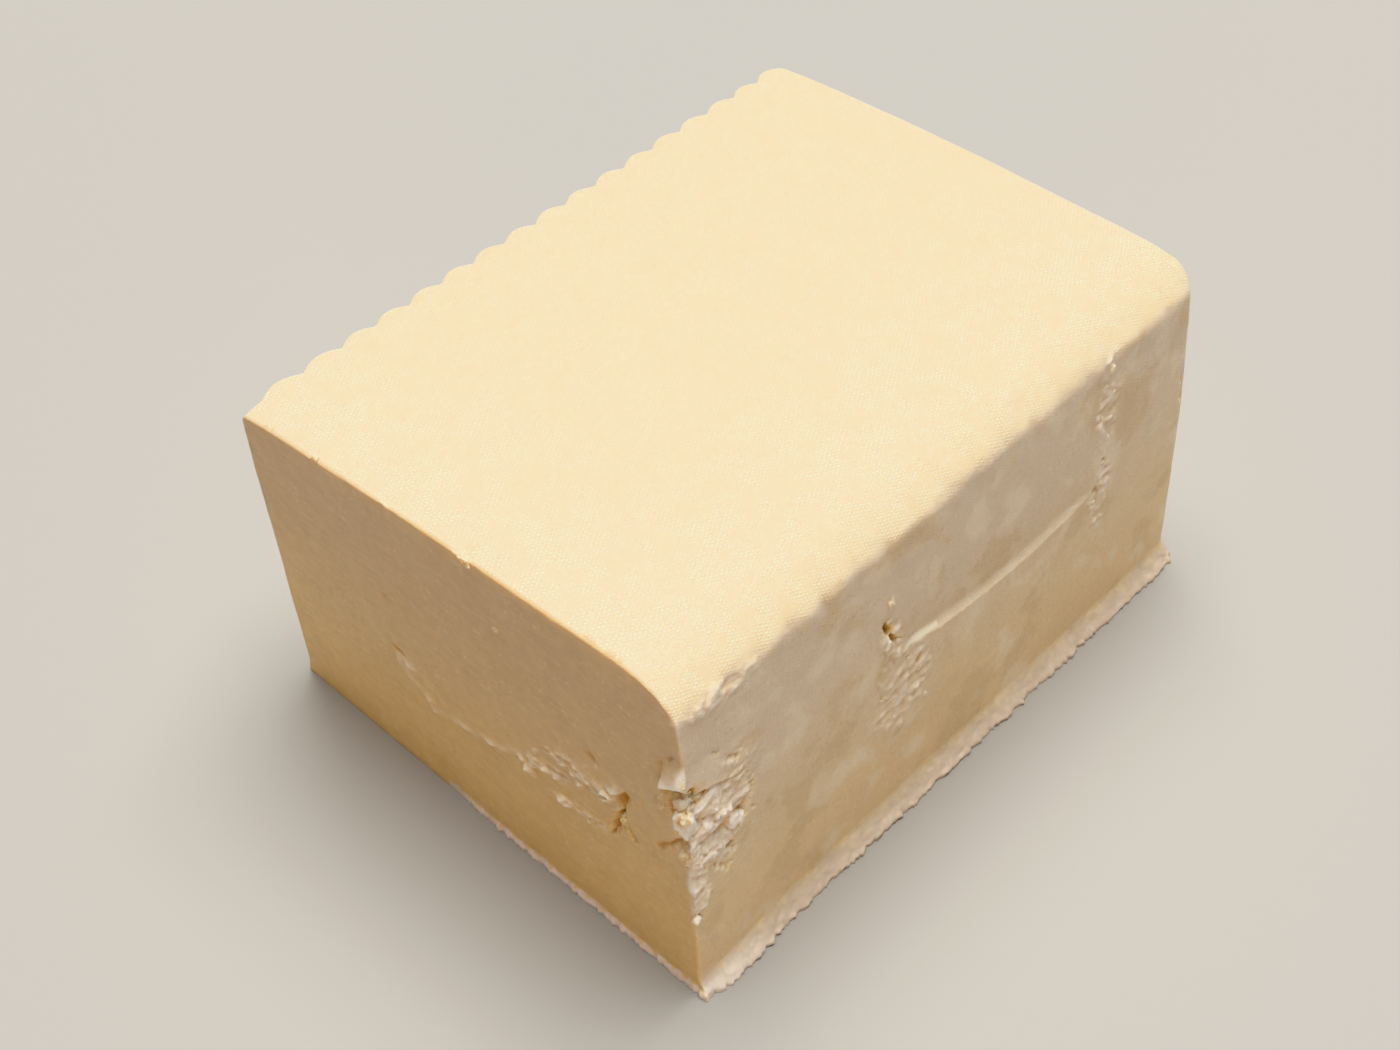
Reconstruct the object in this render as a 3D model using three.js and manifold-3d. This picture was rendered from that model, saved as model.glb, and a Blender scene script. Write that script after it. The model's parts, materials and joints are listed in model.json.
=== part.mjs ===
import * as THREE from 'three';
import { mergeVertices } from 'three/addons/utils/BufferGeometryUtils.js';
import Module from 'manifold-3d';

// A block of firm tofu sawn from a pressed slab, in millimetres, +Z up, resting on its underside.
// X runs along the block, from the knife cut at -X to the moulded end at +X. The side that was
// wrapped in cloth, with a lip along its foot, faces -Y, and the fluted side faces +Y.
// The skin is a grid of bands carried to its place by the shape functions, and the torn places
// are hollows cut from it and crumbs joined to it, so the block stays one solid.

const { clamp, lerp, smoothstep, seededRandom } = THREE.MathUtils;

// Driving sizes of the block
const length = 92;
const topHeight = 49.5; // along the cloth side
const farDrop = 1.2; // fall of the top towards the fluted side
const dropSpan = 0.68; // share of the width over which it falls
const edgeDrop = 0.3; // extra fall along the cut and the fluted side
const edgeDropReach = 3.5;

// Cloth side
const nearTopY = -30.2;
const nearFootY = -33.6;
const nearBelly = 0.5; // outward bow at mid height
const nearFootFlare = 0.8; // the foot stands further out at the cut end
const nearFlareReach = 18;
const shoulderAcross = 9; // rounding of the long top edge, across and down
const shoulderDown = 4.6;
const shoulderRipple = 0.34; // faint flutes pressed into the shoulder
const rippleDepth = 9; // how far down they run out
const rippleFull = 2; // how far down they are still full
const rippleMean = 0.6; // share of a flute that stands out of the plain shoulder

// Lip along the foot of the cloth side
const lipReach = 2.1;
const lipEdge = 0.5; // height of its outer edge
const lipTop = 3; // height where it runs out into the side
const lipPower = 2; // hollowness of its upper face
const lipCutNarrow = 0.7; // it is that much narrower beside the knife cut
const lipNarrowReach = 4;
const lipJag = 0.15; // how far its edge waves in and out
const lipWaves = [
  { share: 0.4, pace: 0.62, start: 1 },
  { share: 0.35, pace: 1.35, start: 2.2 },
  { share: 0.25, pace: 2.1, start: 0 },
];

// Fluted side
const farValleyY = 35.1;
const farStartY = 34.7; // plain stretch beside the knife cut
const farFootFlare = 0.6;
const fluteCount = 17;
const flutePitch = 5.19;
const fluteDepth = 1.2;
const firstFluteX = -40.7;
const fluteReach = 4; // how far in from the side the top follows the flutes

// Ends: how far each corner of an end stands past the nominal length
const cutLean = { nearFoot: 0, farFoot: 0.4, nearTop: 0.8, farTop: -2 };
const endLean = { nearFoot: 2.0, farFoot: -0.4, nearTop: 0.7, farTop: -1.2 };
const endBulge = 0.2;
const leanReach = 12; // stretch of the block that follows the lean of an end
const cutFringe = 0.4; // frayed foot of the knife cut
const fringeTop = 1.2; // height where it runs out
const fringeSpan = 0.6; // share of the cut that has it, from the cloth side
const fringeFade = 0.1; // share over which it ends
const endRadius = 2.4; // upright corner beside the cloth side
const farEndRadius = 2; // upright corner beside the flutes
const topEndRadius = 2;
const fluteEdgeRadius = 1;

// Ledge left by a fold of the cloth: a shallow bow in height, with a recessed panel over it
const ledgeLow = 25.3;
const ledgeMiddleX = 12.5;
const ledgeCurve = 0.0059;
const ledgeStartX = -10;
const ledgeEndX = 27;
const ledgeDepth = 0.85; // at its cut end
const ledgeEndDepth = 0.4;
const ledgeFoot = -0.35; // where the step starts, from the line of the ledge
const ledgeStep = 0.6; // height of the step
const ledgeRunOut = 3; // stretch in which it ends
const ledgeFade = 5.5; // height in which the recess runs out upwards

// Grid lines of the skin, measured from the knife cut, the cloth side and the underside
const width = farValleyY - nearFootY;
const firstValley = firstFluteX - flutePitch / 2 + length / 2;
const lastValley = firstValley + fluteCount * flutePitch;
const stepsPerFlute = 4;
const fineBelowLedge = 0.8;
const fineAboveLedge = 2;
const sparseLow = 4; // of so many corners one is kept: under the ledge, over it and on the top
const sparseHigh = 2;
const sparseTop = 6;

// Rows of the grid bend along with the ledge: the stretch in which they start to, and the shares
// of the height between which the bend comes in and goes out
const bendStretch = 6;
const bendIn = [0.3, 0.5];
const bendOut = [0.6, 0.8];

function steps(from, to, count) {
  return Array.from({ length: count }, (_, n) => lerp(from, to, n / count));
}

const alongLines = [
  ...steps(0, firstValley, 2),
  ...steps(firstValley, lastValley, fluteCount * stepsPerFlute),
  lastValley,
  length,
];
const acrossLines = [
  ...steps(0, shoulderAcross, 5),
  ...steps(shoulderAcross, width - fluteReach, 6),
  ...steps(width - fluteReach, width, 2),
  width,
];
const upLines = [
  0,
  ...steps(lipEdge, lipTop, 3),
  ...steps(lipTop, ledgeLow - fineBelowLedge, 5),
  ...steps(ledgeLow - fineBelowLedge, ledgeLow + fineAboveLedge, 4),
  ...steps(ledgeLow + fineAboveLedge, topHeight - shoulderDown, 3),
  ...steps(topHeight - shoulderDown, topHeight, 4),
  topHeight,
];

// Bends the square meeting of two faces into an ellipse. The arguments are the distances from
// those faces, and points of the square corner keep their order on the rounded one.
function roundCorner(a, b, radiusA, radiusB) {
  const p = clamp(1 - a / radiusA, 0, 1);
  const q = clamp(1 - b / radiusB, 0, 1);
  if (p === 0 || q === 0) {
    return [a, b];
  }
  const bentP = p * Math.sqrt(1 - (q * q) / 2);
  const bentQ = q * Math.sqrt(1 - (p * p) / 2);
  return [radiusA * (1 - bentP), radiusB * (1 - bentQ)];
}

// A hump of 1 on each flute's ridge and 0 in its valleys
function fluteHump(x) {
  const turn = (x - firstFluteX) / flutePitch;
  const inside = turn > -0.5 && turn < fluteCount - 0.5;
  return inside ? Math.abs(Math.cos(Math.PI * turn)) : 0;
}

function lipWave(x) {
  return lipWaves.reduce((sum, { share, pace, start }) => sum + share * Math.sin(pace * x + start), 0);
}

function lipReachAt(x) {
  const narrow = 1 - smoothstep(x, -length / 2, -length / 2 + lipNarrowReach);
  return lipReach - lipCutNarrow * narrow + lipJag * lipWave(x);
}

function lipProfile(z) {
  return z <= lipEdge ? 1 : clamp((lipTop - z) / (lipTop - lipEdge), 0, 1) ** lipPower;
}

function fringeProfile(z) {
  return clamp((fringeTop - z) / (fringeTop - lipEdge), 0, 1);
}

function ledgeRise(x) {
  return ledgeCurve * (x - ledgeMiddleX) ** 2;
}

// 1 along the ledge, running out at both ends over the given stretch
function alongLedge(x, stretch) {
  const start = smoothstep(x, ledgeStartX, ledgeStartX + stretch);
  return start * (1 - smoothstep(x, ledgeEndX - stretch, ledgeEndX));
}

function ledgeRecess(x, z) {
  const above = z - ledgeLow - ledgeRise(x);
  const fade = Math.exp(-Math.max(above, 0) / ledgeFade);
  const share = clamp((x - ledgeStartX) / (ledgeEndX - ledgeStartX), 0, 1);
  const depth = lerp(ledgeDepth, ledgeEndDepth, share);
  const step = smoothstep(above, ledgeFoot, ledgeFoot + ledgeStep);
  return depth * alongLedge(x, ledgeRunOut + Math.max(above, 0)) * step * fade;
}

function nearY(x, z) {
  const cutEnd = 1 - smoothstep(x, -length / 2, -length / 2 + nearFlareReach);
  const foot = nearFootY - nearFootFlare * cutEnd;
  const belly = nearBelly * Math.sin((Math.PI * z) / topHeight);
  const lip = lipReachAt(x) * lipProfile(z);
  const rippled = smoothstep(z, topHeight - rippleDepth, topHeight - rippleFull);
  const ripple = shoulderRipple * rippled * (fluteHump(x) - rippleMean);
  return lerp(foot, nearTopY, z / topHeight) - belly - lip - ripple + ledgeRecess(x, z);
}

function farY(x, z) {
  const start = smoothstep(x, -length / 2, firstFluteX - flutePitch / 2);
  const foot = farFootFlare * clamp(1 - z / lipTop, 0, 1);
  return lerp(farStartY, farValleyY, start) + fluteDepth * fluteHump(x) + foot;
}

function topZ(x, v) {
  const fall = farDrop * (Math.max(v - 1 + dropSpan, 0) / dropSpan) ** 2;
  const cutFall = Math.exp(-(x + length / 2) / edgeDropReach);
  const farFall = Math.exp((-(1 - v) * width) / edgeDropReach);
  return topHeight - fall - edgeDrop * (cutFall + farFall);
}

function leanAt(lean, v, w) {
  return lerp(lerp(lean.nearFoot, lean.farFoot, v), lerp(lean.nearTop, lean.farTop, v), w);
}

function cutX(v, w, z) {
  const frayed = 1 - smoothstep(v, fringeSpan - fringeFade, fringeSpan);
  return -length / 2 + leanAt(cutLean, v, w) - cutFringe * fringeProfile(z) * frayed;
}

function endX(v, w) {
  return length / 2 + leanAt(endLean, v, w) + endBulge * (1 - (2 * v - 1) ** 2);
}

// Carries a point of the plain grid to its place on the block
function place(along, across, up) {
  let toEnd = length - along;
  let toNear = across;
  let toFar = width - across;
  let toTop = topHeight - up;
  if (across < width / 2) {
    [toEnd, toNear] = roundCorner(toEnd, toNear, endRadius, endRadius);
    toFar = width - toNear;
  } else {
    [toEnd, toFar] = roundCorner(toEnd, toFar, farEndRadius, farEndRadius);
    toNear = width - toFar;
  }
  [toEnd, toTop] = roundCorner(toEnd, toTop, topEndRadius, topEndRadius);
  if (across < width / 2) {
    [toNear, toTop] = roundCorner(toNear, toTop, shoulderAcross, shoulderDown);
  } else {
    [toFar, toTop] = roundCorner(toFar, toTop, fluteEdgeRadius, fluteEdgeRadius);
    toNear = width - toFar;
  }

  const nominalX = length / 2 - toEnd;
  const v = toNear / width;
  const w = 1 - toTop / topHeight;
  const bent = smoothstep(w, ...bendIn) * (1 - smoothstep(w, ...bendOut)) * (1 - v);
  const z = w * topZ(nominalX, v) + ledgeRise(nominalX) * alongLedge(nominalX, bendStretch) * bent;

  const plainNear = lerp(nearFootY, nearTopY, w);
  const nearFade = Math.max(0, 1 - (v * width) / shoulderAcross);
  const farFade = Math.max(0, 1 - ((1 - v) * width) / fluteReach);
  const y =
    lerp(plainNear, farValleyY, v) +
    nearFade * (nearY(nominalX, z) - plainNear) +
    farFade * (farY(nominalX, z) - farValleyY);

  const cutFade = Math.max(0, 1 - (length - toEnd) / leanReach);
  const endFade = Math.max(0, 1 - toEnd / leanReach);
  const x =
    nominalX +
    cutFade * (cutX(v, w, z) + length / 2) +
    endFade * (endX(v, w) - length / 2);
  return [x, y, z];
}

// The skin: bands between rows of grid corners, with only as many corners as the shape needs
function pressedBlock() {
  const lastI = alongLines.length - 1;
  const lastJ = acrossLines.length - 1;
  const lastK = upLines.length - 1;
  const points = [];
  const faces = [];
  const known = new Map();

  function corner(i, j, k) {
    const key = `${i} ${j} ${k}`;
    if (!known.has(key)) {
      known.set(key, points.length / 3);
      points.push(...place(alongLines[i], acrossLines[j], upLines[k]));
    }
    return known.get(key);
  }

  // A row of corners along one grid direction, at both ends and on the lines that are kept
  function row(last, keeps, cornerAt) {
    const lines = Array.from({ length: last + 1 }, (_, n) => n);
    return lines
      .filter((n) => n === 0 || n === last || keeps(n))
      .map((n) => ({ line: n, corner: cornerAt(n) }));
  }

  // Fills the band between two rows, stepping along whichever is behind
  function band(rowA, rowB) {
    let a = 0;
    let b = 0;
    while (a < rowA.length - 1 || b < rowB.length - 1) {
      const endsB = b === rowB.length - 1;
      if (endsB || (a < rowA.length - 1 && rowA[a + 1].line <= rowB[b + 1].line)) {
        faces.push(rowA[a].corner, rowA[a + 1].corner, rowB[b].corner);
        a += 1;
      } else {
        faces.push(rowA[a].corner, rowB[b + 1].corner, rowB[b].corner);
        b += 1;
      }
    }
  }

  function bands(rows) {
    rows.slice(1).forEach((next, n) => band(rows[n], next));
  }

  const every = (stride) => (n) => n % stride === 0;

  // Cloth side, from the lip up: fine at the lip, the ledge and the shoulder
  const sideStride = (up) => {
    if (up > lipTop && up < ledgeLow - fineBelowLedge) {
      return sparseLow;
    }
    return up > ledgeLow + fineAboveLedge && up < topHeight - shoulderDown ? sparseHigh : 1;
  };
  bands(upLines.map((up, k) => row(lastI, every(sideStride(up)), (i) => corner(i, 0, k))));

  // Top, from the cloth side over to the flutes
  const isPlainTop = (across) => across > shoulderAcross && across < width - fluteReach;
  bands(
    acrossLines.map((across, j) => {
      const stride = isPlainTop(across) ? sparseTop : 1;
      return row(lastI, every(stride), (i) => corner(i, j, lastK));
    }),
  );

  // Fluted side, as upright strips with a foot, a straight rise and a rounded top
  const isFluteRow = (k) => upLines[k] === lipTop || k === lastK - 1;
  bands(
    alongLines.map((_, i) => {
      const keeps = i === 0 || i === lastI ? every(1) : isFluteRow;
      return row(lastK, keeps, (k) => corner(i, lastJ, k));
    }),
  );

  // Knife cut and far end
  const acrossRows = (i) => acrossLines.map((_, j) => row(lastK, every(1), (k) => corner(i, j, k)));
  bands(acrossRows(0));
  bands(acrossRows(lastI).reverse());

  // Underside, flat inside its outline
  const outline = [];
  alongLines.forEach((_, i) => outline.push(corner(i, 0, 0)));
  acrossLines.slice(1).forEach((_, j) => outline.push(corner(lastI, j + 1, 0)));
  alongLines.slice(1).forEach((_, i) => outline.push(corner(lastI - i - 1, lastJ, 0)));
  acrossLines.slice(2).forEach((_, j) => outline.push(corner(0, lastJ - j - 1, 0)));
  const flat = outline.map((id) => new THREE.Vector2(points[3 * id], points[3 * id + 1]));
  for (const [a, b, c] of THREE.ShapeUtils.triangulateShape(flat, [])) {
    faces.push(outline[a], outline[c], outline[b]);
  }

  const skin = new THREE.BufferGeometry();
  skin.setAttribute('position', new THREE.Float32BufferAttribute(points, 3));
  skin.setIndex(faces);
  return skin;
}

// Torn places. Each spot lies on a side at a place along it and a height: the cloth side is
// measured along X, the knife cut along Y.
const sides = {
  cloth: {
    turn: 0,
    at: (along, up) => [along, nearY(along, up), up],
  },
  cut: {
    turn: -Math.PI / 2,
    at: (along, up) => {
      const w = up / topHeight;
      const v = (along - nearFootY) / width;
      return [cutX(v, w, up), along, up];
    },
  },
};

// Patches of crumbled curd: middle, half spans, depth of the bed that the skin came off, how
// many pieces are torn out of it and how many stand in it, and their usual half size
const patches = [
  { side: 'cloth', along: -40.9, up: 27, spans: [4, 8.2], bed: 1.3, torn: 5, proud: 15, size: 1.3 },
  { side: 'cloth', along: -43.9, up: 14.5, spans: [1.3, 4.5], bed: 0.7, torn: 0, proud: 5, size: 0.8 },
  { side: 'cloth', along: -39, up: 45.4, spans: [5, 0.9], bed: 0.5, torn: 2, proud: 4, size: 0.7 },
  { side: 'cloth', along: -9.6, up: 21.8, spans: [4.6, 5.6], bed: 0.6, torn: 3, proud: 8, size: 1 },
  { side: 'cloth', along: 28.4, up: 38.2, spans: [1.6, 7.4], bed: 0.6, torn: 2, proud: 7, size: 0.8 },
  { side: 'cloth', along: 28.4, up: 24.5, spans: [2.2, 6], bed: 0.5, torn: 2, proud: 6, size: 0.8 },
  { side: 'cut', along: -13.5, up: 22.8, spans: [6.5, 1.2], bed: 0.4, torn: 2, proud: 7, size: 0.8 },
  { side: 'cut', along: -15, up: 17.6, spans: [3.4, 0.6], bed: 0.3, torn: 0, proud: 4, size: 0.6 },
  { side: 'cut', along: 12.4, up: 20.8, spans: [2.4, 1.4], bed: 0.3, torn: 0, proud: 3, size: 0.6 },
];

// Single hollows: half sizes along the side, up it and into it, and the tilt in degrees
const hollows = [
  { side: 'cut', along: -30.2, up: 32, sizes: [1.6, 2.4, 1.6], tilt: -8 }, // under the lifted slab
  { side: 'cut', along: -30.2, up: 25, sizes: [1.6, 0.9, 0.9], tilt: 20 },
  { side: 'cloth', along: -42, up: 33, sizes: [3.4, 0.8, 1.6], tilt: 22 },
  { side: 'cut', along: -21.8, up: 24.4, sizes: [1, 1.8, 2.2], tilt: 10 }, // deep split in the cut
  { side: 'cut', along: -20.7, up: 20.2, sizes: [0.6, 2.6, 1.5], tilt: 4 },
  { side: 'cut', along: -23.8, up: 20.4, sizes: [0.5, 1.8, 1.2], tilt: 28 },
  { side: 'cut', along: -18.3, up: 29.6, sizes: [0.8, 0.7, 0.8], tilt: 0 },
  { side: 'cut', along: -29.8, up: 39.5, sizes: [0.6, 0.6, 0.6], tilt: 0 },
  { side: 'cut', along: 14.1, up: 31.6, sizes: [0.7, 0.5, 0.6], tilt: 0 },
  { side: 'cloth', along: -12.3, up: 33.6, sizes: [0.6, 1.5, 1.5], tilt: 8 }, // split down to the ledge
  { side: 'cloth', along: -10.6, up: 30, sizes: [0.6, 1.9, 1.3], tilt: -24 },
  { side: 'cloth', along: -6.7, up: 23.9, sizes: [0.5, 0.9, 0.9], tilt: 0 },
  { side: 'cloth', along: 28.6, up: 30, sizes: [0.7, 0.8, 0.8], tilt: 0 },
  { side: 'cloth', along: -39.4, up: 21.1, sizes: [0.9, 0.6, 1.2], tilt: -20 },
  { side: 'cloth', along: 45.3, up: 31.2, sizes: [0.7, 2.2, 0.6], tilt: 0 }, // far upright corner
  { side: 'cut', along: 22.7, up: 48.8, sizes: [0.6, 0.5, 0.5], tilt: 0 }, // top edge of the cut
  { side: 'cut', along: 11.3, up: 48.9, sizes: [0.7, 0.5, 0.4], tilt: 0 },
  { side: 'cut', along: -0.5, up: 49.2, sizes: [1.2, 0.6, 0.6], tilt: 0 },
];

// Single crumbs that stand proud
const crumbs = [
  { side: 'cloth', along: -45.2, up: 30.2, sizes: [1, 2, 1.2], tilt: 14 },
  { side: 'cloth', along: -42.4, up: 31.2, sizes: [2.3, 0.8, 1], tilt: 16 },
  { side: 'cloth', along: -12, up: 36.6, sizes: [0.5, 1, 0.5], tilt: 0 },
  { side: 'cut', along: -28.4, up: 31, sizes: [0.6, 1.5, 0.5], tilt: 12 },
  { side: 'cut', along: 22.3, up: 48, sizes: [0.5, 0.6, 0.4], tilt: 0 },
  { side: 'cut', along: -0.9, up: 48, sizes: [1, 0.8, 0.6], tilt: 0 },
  { side: 'cut', along: -4.6, up: 40.4, sizes: [0.5, 0.5, 0.3], tilt: 0 },
];

// Square slabs of curd that lift off a side at their low edge, with their lean in degrees
const slabs = [
  { side: 'cut', along: -29.9, up: 37, sizes: [1.3, 1.6, 0.4], tilt: -20, lean: -11 },
];

const drawSeed = 15;
const roughness = 0.28; // how far a crumb's corners stray from a ball
const crumbSink = 0.2; // how deep the middle of a single crumb lies under the skin
const crumbHeight = 0.6; // how far the crumbs of a patch stand out of it
const sizeStray = 0.35;
const tiltStray = 60;

// A draw between -1 and 1
function stray() {
  return 2 * seededRandom() - 1;
}

function asSolid(geometry) {
  return new wasm.Manifold(
    new wasm.Mesh({
      numProp: 3,
      vertProperties: geometry.attributes.position.array,
      triVerts: Uint32Array.from(geometry.index.array),
    }),
  );
}

const shard = () => new THREE.OctahedronGeometry(1, 0);
const lump = () => new THREE.IcosahedronGeometry(1, 0);
const bowl = () => new THREE.IcosahedronGeometry(1, 1);
const brick = () => new THREE.BoxGeometry(2, 2, 2);

// One rough piece of curd on a side, with its middle sunk that deep under the skin
function curd({ side, along, up, sizes, tilt, lean = 0 }, sink, makeBall) {
  const ball = makeBall();
  ball.deleteAttribute('normal');
  ball.deleteAttribute('uv');
  const piece = mergeVertices(ball);
  const points = piece.attributes.position;
  for (let n = 0; n < points.count; n += 1) {
    const reach = 1 + roughness * stray();
    points.setXYZ(n, points.getX(n) * reach, points.getY(n) * reach, points.getZ(n) * reach);
  }
  const { turn, at } = sides[side];
  const [alongSize, upSize, outSize] = sizes;
  piece.scale(alongSize, outSize, upSize);
  piece.translate(0, sink, 0);
  piece.rotateX(THREE.MathUtils.degToRad(lean));
  piece.rotateY(THREE.MathUtils.degToRad(tilt));
  piece.rotateZ(turn);
  piece.translate(...at(along, up));
  return asSolid(piece);
}

// Pieces spread evenly over a patch, by turns of the golden angle
function spread({ side, along, up, spans, bed, size }, count, firstTurn) {
  const goldenAngle = Math.PI * (3 - Math.sqrt(5));
  return Array.from({ length: count }, (_, n) => {
    const far = Math.sqrt((n + 0.5) / count);
    const turn = firstTurn + n * goldenAngle;
    return {
      side,
      along: along + spans[0] * far * Math.cos(turn),
      up: up + spans[1] * far * Math.sin(turn),
      sizes: [size, size, bed / 2 + crumbHeight].map((half) => half * (1 + sizeStray * stray())),
      tilt: tiltStray * stray(),
    };
  });
}

function tear(solid) {
  seededRandom(drawSeed);
  let torn = solid;
  for (const patch of patches) {
    const bed = { ...patch, sizes: [...patch.spans, patch.bed], tilt: 0 };
    torn = torn.subtract(curd(bed, 0, bowl));
    for (const spot of spread(patch, patch.torn, 0)) {
      torn = torn.subtract(curd(spot, patch.bed, shard));
    }
  }
  for (const hollow of hollows) {
    torn = torn.subtract(curd(hollow, 0, lump));
  }
  for (const patch of patches) {
    for (const spot of spread(patch, patch.proud, 1)) {
      torn = torn.add(curd(spot, patch.bed / 2, shard));
    }
  }
  for (const crumb of crumbs) {
    torn = torn.add(curd(crumb, crumbSink, lump));
  }
  for (const slab of slabs) {
    torn = torn.add(curd(slab, 0, brick));
  }
  return torn;
}

const wasm = await Module();
wasm.setup();

// A hollow that a crumb seals is filled, and a scrap that comes loose is dropped: the outer
// surface of the block is the one that encloses the most
const pieces = tear(asSolid(pressedBlock())).decompose();
const [whole] = pieces.sort((a, b) => b.volume() - a.volume());
const { vertProperties, triVerts } = whole.getMesh();
const surface = new THREE.BufferGeometry();
surface.setAttribute('position', new THREE.BufferAttribute(vertProperties, 3));
surface.setIndex(new THREE.BufferAttribute(triVerts, 1));

// The origin is the middle of the underside's box
surface.computeBoundingBox();
const middle = surface.boundingBox.getCenter(new THREE.Vector3());
surface.translate(-middle.x, -middle.y, -surface.boundingBox.min.z);
surface.computeVertexNormals();

const tofu = new THREE.MeshStandardMaterial({ color: '#f3e6c8', roughness: 0.55, metalness: 0 });
const block = new THREE.Mesh(surface, tofu);
block.name = 'tofu_block';

const group = new THREE.Group();
group.add(block);
export default group;
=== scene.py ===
import json
import math
import random

import bmesh
import bpy
import numpy as np
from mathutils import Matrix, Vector, noise

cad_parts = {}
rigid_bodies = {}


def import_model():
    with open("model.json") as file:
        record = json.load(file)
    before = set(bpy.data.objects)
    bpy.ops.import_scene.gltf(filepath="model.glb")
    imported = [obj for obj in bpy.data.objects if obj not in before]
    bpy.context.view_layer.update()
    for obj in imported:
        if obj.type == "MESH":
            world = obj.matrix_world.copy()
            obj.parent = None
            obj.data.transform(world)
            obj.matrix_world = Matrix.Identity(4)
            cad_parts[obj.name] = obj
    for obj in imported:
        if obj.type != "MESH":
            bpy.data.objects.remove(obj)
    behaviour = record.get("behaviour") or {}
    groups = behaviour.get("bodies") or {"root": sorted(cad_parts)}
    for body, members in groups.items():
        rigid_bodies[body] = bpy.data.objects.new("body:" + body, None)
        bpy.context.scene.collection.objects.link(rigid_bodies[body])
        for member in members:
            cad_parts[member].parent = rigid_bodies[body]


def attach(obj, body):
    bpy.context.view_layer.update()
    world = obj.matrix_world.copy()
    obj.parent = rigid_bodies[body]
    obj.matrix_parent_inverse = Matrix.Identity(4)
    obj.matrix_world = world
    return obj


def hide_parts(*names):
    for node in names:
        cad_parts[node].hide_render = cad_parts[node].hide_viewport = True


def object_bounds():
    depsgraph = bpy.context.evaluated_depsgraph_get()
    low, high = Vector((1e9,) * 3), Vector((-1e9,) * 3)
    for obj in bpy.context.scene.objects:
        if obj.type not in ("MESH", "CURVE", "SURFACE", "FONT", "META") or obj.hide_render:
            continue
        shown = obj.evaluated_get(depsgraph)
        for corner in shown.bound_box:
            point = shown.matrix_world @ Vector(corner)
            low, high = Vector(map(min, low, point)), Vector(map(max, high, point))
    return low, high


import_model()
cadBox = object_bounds()
mm = 0.001
noise.seed_set(12)  # so that the curd breaks the same way each run

# Sizes are in millimetres. X runs along the block, from the knife cut at -X to the moulded end
# at +X. The side that was wrapped in cloth faces -Y and the fluted side faces +Y.
block = {
    "length": 92.0,
    "topHeight": 49.5,  # along the cloth side
    "farDrop": 1.2,  # fall of the top towards the fluted side
    "dropSpan": 0.68,  # share of the width over which it falls
    "edgeDrop": 0.3,  # extra fall along the cut and the fluted side
    "edgeDropReach": 3.5,
    "nearTopY": -30.2,
    "nearFootY": -33.6,
    "nearBelly": 0.5,  # outward bow of the cloth side at mid height
    "nearFootFlare": 0.8,
    "nearFlareReach": 18.0,
    "shoulderAcross": 9.0,  # rounding of the long top edge, across and down
    "shoulderDown": 4.6,
    "shoulderRipple": 0.42,  # faint flutes pressed into the shoulder
    "shoulderDents": 0.16,  # and the uneven cloth on it
    "rippleDepth": 9.0,  # they start this far under the top
    "rippleFull": 2.0,  # and are full here
    "rippleMiddle": 0.6,
    "dentsUp": (36.0, 44.0),  # heights between which the dents start
    "dentsAcross": (-30.0, -20.0),
    "farValleyY": 35.1,
    "farStartY": 34.7,  # plain stretch beside the knife cut
    "farFootFlare": 0.6,
    "fluteCount": 17,
    "flutePitch": 5.19,
    "fluteDepth": 1.2,
    "firstFluteX": -40.7,
    "fluteReach": 4.0,  # how far in from their side the flutes move the top
    "endBulge": 0.2,
    "leanReach": 12.0,  # how far in from an end its lean works
    "endRadius": 2.4,  # upright corner beside the cloth side
    "farEndRadius": 2.0,
    "fluteEdgeRadius": 1.0,
    "unevenness": 0.09,  # slow waves of the pressed faces
    "flatFoot": 0.05,  # height up to which nothing is moved
}
block["width"] = block["farValleyY"] - block["nearFootY"]
halfLength = block["length"] / 2
topHeight = block["topHeight"]

# How far each corner of an end stands past the nominal length
cutLean = {"nearFoot": 0.0, "farFoot": 0.4, "nearTop": 0.8, "farTop": -2.0}
endLean = {"nearFoot": 2.0, "farFoot": -0.4, "nearTop": 0.7, "farTop": -1.2}

# The pale lip that the cloth left along the foot of its side, and the fray under the knife cut
lip = {
    "reach": 2.1,
    "edge": 0.5,  # height of its outer edge
    "cutNarrow": 0.7,  # it is that much narrower beside the knife cut
    "cutNarrowReach": 4.0,
    "top": 3.0,  # height where it runs out into the side
    "power": 2.0,  # hollowness of its upper face
    "jag": 0.15,  # slow waves of its edge
    "waves": ((0.62, 1.0, 0.4), (1.35, 2.2, 0.35), (2.1, 0.0, 0.25)),  # turn, start and share
    "teeth": 0.34,  # small teeth of its edge
    "toothLength": 0.75,
    "toothNoise": (0.6, 2.1, 3),  # roughness, gap and octaves
    "toothRow": (0.5, 7.3),
    "toothMiddle": 0.4,
    "crumble": 0.22,  # roughness of its upper face
    "crumbleFrom": 2.0,  # which starts this far inside the foot
    "fringe": 0.4,  # frayed foot of the knife cut
    "fringeTop": 1.2,
    "fringeSpan": (0.5, 0.6),  # share of the width where it ends
    "frayTeeth": 0.3,
    "frayRow": (3.1, 0.0),
    "frayMiddle": 0.2,
}

# The ledge that a fold of the cloth pressed into its side, with a recessed panel over it
ledge = {
    "low": 25.3,
    "middleX": 12.5,
    "curve": 0.0059,
    "startX": -10.0,
    "endX": 27.0,
    "depth": 0.85,  # at its cut end
    "endDepth": 0.4,
    "lowEdge": -0.28,  # where the step starts, from the ledge's own line
    "slope": 0.5,  # height of the step itself
    "fade": 5.5,  # height over which the panel above runs out
    "endReach": 3.0,  # length over which it runs out at its ends
    "gridBand": (0.3, 0.5, 0.6, 0.8),  # shares of the height where the grid follows it
}

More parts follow.
